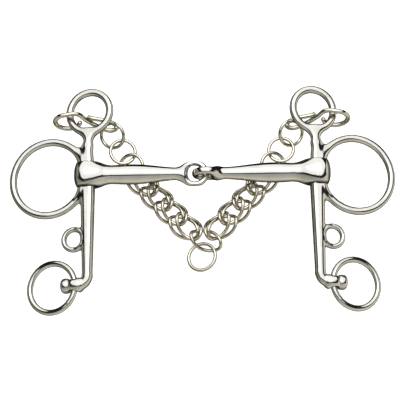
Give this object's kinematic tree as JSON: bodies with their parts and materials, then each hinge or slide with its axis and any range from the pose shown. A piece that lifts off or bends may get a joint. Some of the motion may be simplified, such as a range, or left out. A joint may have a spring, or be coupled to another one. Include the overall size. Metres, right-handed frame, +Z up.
{
  "type": "pelham curb bit",
  "caption": "Horse bit with turning cheeks, a jointed mouthpiece, snaffle rings, loose rein rings and a double-link curb chain on two hooks.",
  "frame": {"origin": "on the surface the bit lies on, under the middle of its box", "axes": "+X along the mouthpiece towards the right cheek, +Y from the rein rings to the headstall eyes, +Z up from the surface"},
  "size_m": [0.2298, 0.1364, 0.0231],
  "materials": {
    "polished_steel": "polished stainless steel",
    "nickel_wire": "polished nickel-plated wire, slightly warm"
  },
  "bodies": {
    "left_cannon": {"left_cannon": "polished_steel"},
    "left_cheek": {"left_cheek": "polished_steel"},
    "left_rein_ring": {"left_rein_ring": "polished_steel"},
    "left_curb_hook": {"left_curb_hook": "nickel_wire"},
    "left_ring_1": {"left_ring_1": "nickel_wire"},
    "left_ring_2": {"left_ring_2": "nickel_wire"},
    "left_ring_3": {"left_ring_3": "nickel_wire"},
    "left_link_4": {"left_link_4a": "nickel_wire", "left_link_4b": "nickel_wire"},
    "left_link_5": {"left_link_5a": "nickel_wire", "left_link_5b": "nickel_wire"},
    "left_link_6": {"left_link_6a": "nickel_wire", "left_link_6b": "nickel_wire"},
    "left_link_7": {"left_link_7a": "nickel_wire", "left_link_7b": "nickel_wire"},
    "centre_ring": {"centre_ring": "nickel_wire"},
    "fly_ring": {"fly_ring": "nickel_wire"},
    "right_link_7": {"right_link_7a": "nickel_wire", "right_link_7b": "nickel_wire"},
    "right_link_6": {"right_link_6a": "nickel_wire", "right_link_6b": "nickel_wire"},
    "right_link_5": {"right_link_5a": "nickel_wire", "right_link_5b": "nickel_wire"},
    "right_link_4": {"right_link_4a": "nickel_wire", "right_link_4b": "nickel_wire"},
    "right_ring_3": {"right_ring_3": "nickel_wire"},
    "right_ring_2": {"right_ring_2": "nickel_wire"},
    "right_ring_1": {"right_ring_1": "nickel_wire"},
    "right_cannon": {"right_cannon": "polished_steel"},
    "right_cheek": {"right_cheek": "polished_steel"},
    "right_rein_ring": {"right_rein_ring": "polished_steel"},
    "right_curb_hook": {"right_curb_hook": "nickel_wire"}
  },
  "joints": [
    {"name": "mouth_fold", "type": "hinge", "parent": "left_cannon", "child": "right_cannon", "pos_m": [0.002, 0.01455, 0.015], "axis": [0, -1, 0], "range_deg": [-16, 8]},
    {"name": "left_cheek_swivel", "type": "hinge", "parent": "left_cannon", "child": "left_cheek", "pos_m": [-0.0675, 0.01455, 0.015], "axis": [0, -1, 0], "range_deg": [-20, 13]},
    {"name": "left_rein_ring_swing", "type": "hinge", "parent": "left_cheek", "child": "left_rein_ring", "pos_m": [-0.07481, -0.05185, 0.01293], "axis": [0, -1, 0], "range_deg": [-130, 120]},
    {"name": "left_hook_swing", "type": "hinge", "parent": "left_cheek", "child": "left_curb_hook", "pos_m": [-0.0777, 0.04885, 0.01211], "axis": [0, -1, 0], "range_deg": [-6.5, 10]},
    {"name": "right_cheek_swivel", "type": "hinge", "parent": "right_cannon", "child": "right_cheek", "pos_m": [0.0675, 0.01455, 0.015], "axis": [0, 1, 0], "range_deg": [-20, 13]},
    {"name": "right_rein_ring_swing", "type": "hinge", "parent": "right_cheek", "child": "right_rein_ring", "pos_m": [0.07481, -0.05185, 0.01293], "axis": [0, 1, 0], "range_deg": [-130, 120]},
    {"name": "right_hook_swing", "type": "hinge", "parent": "right_cheek", "child": "right_curb_hook", "pos_m": [0.0777, 0.04885, 0.01211], "axis": [0, 1, 0], "range_deg": [-6.5, 10]},
    {"name": "left_ring_1_swing", "type": "hinge", "parent": "left_curb_hook", "child": "left_ring_1", "pos_m": [-0.0578, 0.04895, 0.0066], "axis": [0, -1, 0], "range_deg": [-6.5, 10]},
    {"name": "left_ring_2_swing", "type": "hinge", "parent": "left_ring_1", "child": "left_ring_2", "pos_m": [0, 0.03805, 0.0055], "axis": [1, 0, 0], "range_deg": [-1.5, 20]},
    {"name": "left_ring_3_swing", "type": "hinge", "parent": "left_ring_2", "child": "left_ring_3", "pos_m": [0, 0.02725, 0.0025], "axis": [-1, 0, 0], "range_deg": [-20, 3]},
    {"name": "left_link_4_swing", "type": "hinge", "parent": "left_ring_3", "child": "left_link_4", "pos_m": [0, 0.01755, 0.0025], "axis": [-1, 0, 0], "range_deg": [-18, 10]},
    {"name": "left_link_5_swing", "type": "hinge", "parent": "left_link_4", "child": "left_link_5", "pos_m": [0, 0.00785, 0.001], "axis": [1, 0, 0], "range_deg": [-20, 6]},
    {"name": "left_link_6_swing", "type": "hinge", "parent": "left_link_5", "child": "left_link_6", "pos_m": [0, -0.00125, 0.001], "axis": [-1, 0, 0], "range_deg": [-6, 20]},
    {"name": "left_link_7_swing", "type": "hinge", "parent": "left_link_6", "child": "left_link_7", "pos_m": [0, -0.01035, 0.001], "axis": [1, 0, 0], "range_deg": [-20, 6]},
    {"name": "left_centre_fold", "type": "hinge", "parent": "left_link_7", "child": "centre_ring", "pos_m": [-0.003, -0.01895, 0.0042], "axis": [0, -1, 0], "range_deg": [-8, 4]},
    {"name": "right_centre_fold", "type": "hinge", "parent": "centre_ring", "child": "right_link_7", "pos_m": [0.007, -0.01895, 0.0042], "axis": [0, -1, 0], "range_deg": [-8, 4]},
    {"name": "right_link_7_swing", "type": "hinge", "parent": "right_link_7", "child": "right_link_6", "pos_m": [0, -0.01035, 0.001], "axis": [-1, 0, 0], "range_deg": [-20, 6]},
    {"name": "right_link_6_swing", "type": "hinge", "parent": "right_link_6", "child": "right_link_5", "pos_m": [0, -0.00125, 0.001], "axis": [1, 0, 0], "range_deg": [-6, 20]},
    {"name": "right_link_5_swing", "type": "hinge", "parent": "right_link_5", "child": "right_link_4", "pos_m": [0, 0.00785, 0.001], "axis": [-1, 0, 0], "range_deg": [-20, 6]},
    {"name": "right_link_4_swing", "type": "hinge", "parent": "right_link_4", "child": "right_ring_3", "pos_m": [0, 0.01755, 0.0025], "axis": [1, 0, 0], "range_deg": [-18, 10]},
    {"name": "right_ring_3_swing", "type": "hinge", "parent": "right_ring_3", "child": "right_ring_2", "pos_m": [0, 0.02725, 0.0025], "axis": [1, 0, 0], "range_deg": [-20, 3]},
    {"name": "right_ring_2_swing", "type": "hinge", "parent": "right_ring_2", "child": "right_ring_1", "pos_m": [0, 0.03805, 0.0055], "axis": [-1, 0, 0], "range_deg": [-1.5, 20]},
    {"name": "fly_ring_swing", "type": "hinge", "parent": "centre_ring", "child": "fly_ring", "pos_m": [-0.0009, -0.02625, 0.0044], "axis": [1, 0, 0], "range_deg": [-14, 28]}
  ],
  "couplings": [
    {"joint": "left_hook_swing", "follows": "left_cheek_swivel", "ratio": -0.5},
    {"joint": "right_hook_swing", "follows": "right_cheek_swivel", "ratio": -0.5},
    {"joint": "left_ring_1_swing", "follows": "left_cheek_swivel", "ratio": -0.5},
    {"joint": "left_centre_fold", "follows": "mouth_fold", "ratio": 0.5},
    {"joint": "right_centre_fold", "follows": "mouth_fold", "ratio": 0.5},
    {"joint": "right_link_7_swing", "follows": "left_link_7_swing", "ratio": 1},
    {"joint": "right_link_6_swing", "follows": "left_link_6_swing", "ratio": 1},
    {"joint": "right_link_5_swing", "follows": "left_link_5_swing", "ratio": 1},
    {"joint": "right_link_4_swing", "follows": "left_link_4_swing", "ratio": 1},
    {"joint": "right_ring_3_swing", "follows": "left_ring_3_swing", "ratio": 1},
    {"joint": "right_ring_2_swing", "follows": "left_ring_2_swing", "ratio": 1}
  ]
}
